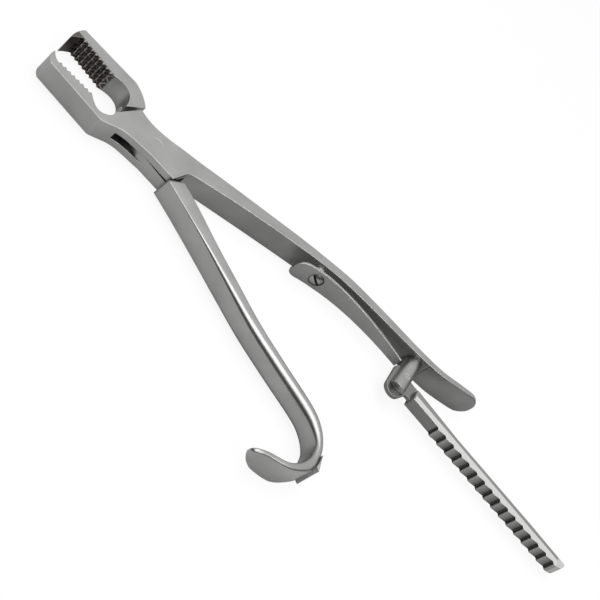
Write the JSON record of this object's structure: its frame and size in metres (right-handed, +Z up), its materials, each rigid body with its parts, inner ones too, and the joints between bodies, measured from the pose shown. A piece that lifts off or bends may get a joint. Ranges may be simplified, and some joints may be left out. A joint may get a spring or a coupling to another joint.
{
  "type": "bone_holding_forceps",
  "caption": "Box-lock bone holding forceps with serrated jaws, a finger hook on one handle and a hinged ratchet bar held by a leaf spring on the other",
  "frame": {"origin": "On the joint axis, at the back face of the box lock and the flush end of its rivet", "axes": "X runs from the jaws to the handle ends, Y across the handles towards the one with the ratchet bar, Z up through the box lock; the forceps lie flat and half open"},
  "size_m": [0.3402, 0.1418, 0.015],
  "materials": {
    "forged_steel": "satin stainless steel, belt-ground along the handles, edges brighter",
    "ground_steel": "satin, ground flush with the piece around it",
    "polished_steel": "finer polish than the forgings, with light handling marks",
    "spring_steel": "satin, ground along the blade"
  },
  "bodies": {
    "box_body": {"box_half": "forged_steel", "joint_rivet": "ground_steel", "leaf_spring": "spring_steel", "spring_screw": "polished_steel", "ratchet_pin": "ground_steel"},
    "tongue_body": {"tongue_half": "forged_steel", "catch_lug": "ground_steel"},
    "bar_body": {"ratchet_bar": "polished_steel"}
  },
  "joints": [
    {"name": "jaw_pivot", "type": "hinge", "parent": "box_body", "child": "tongue_body", "pos_m": [0, 0, 0.0055], "axis": [0, 0, 1], "range_deg": [-2, 13.5]},
    {"name": "ratchet_hinge", "type": "hinge", "parent": "box_body", "child": "bar_body", "pos_m": [0.1591, 0.0237, 0.0055], "axis": [0, 0, 1], "range_deg": [-84, 0]}
  ]
}
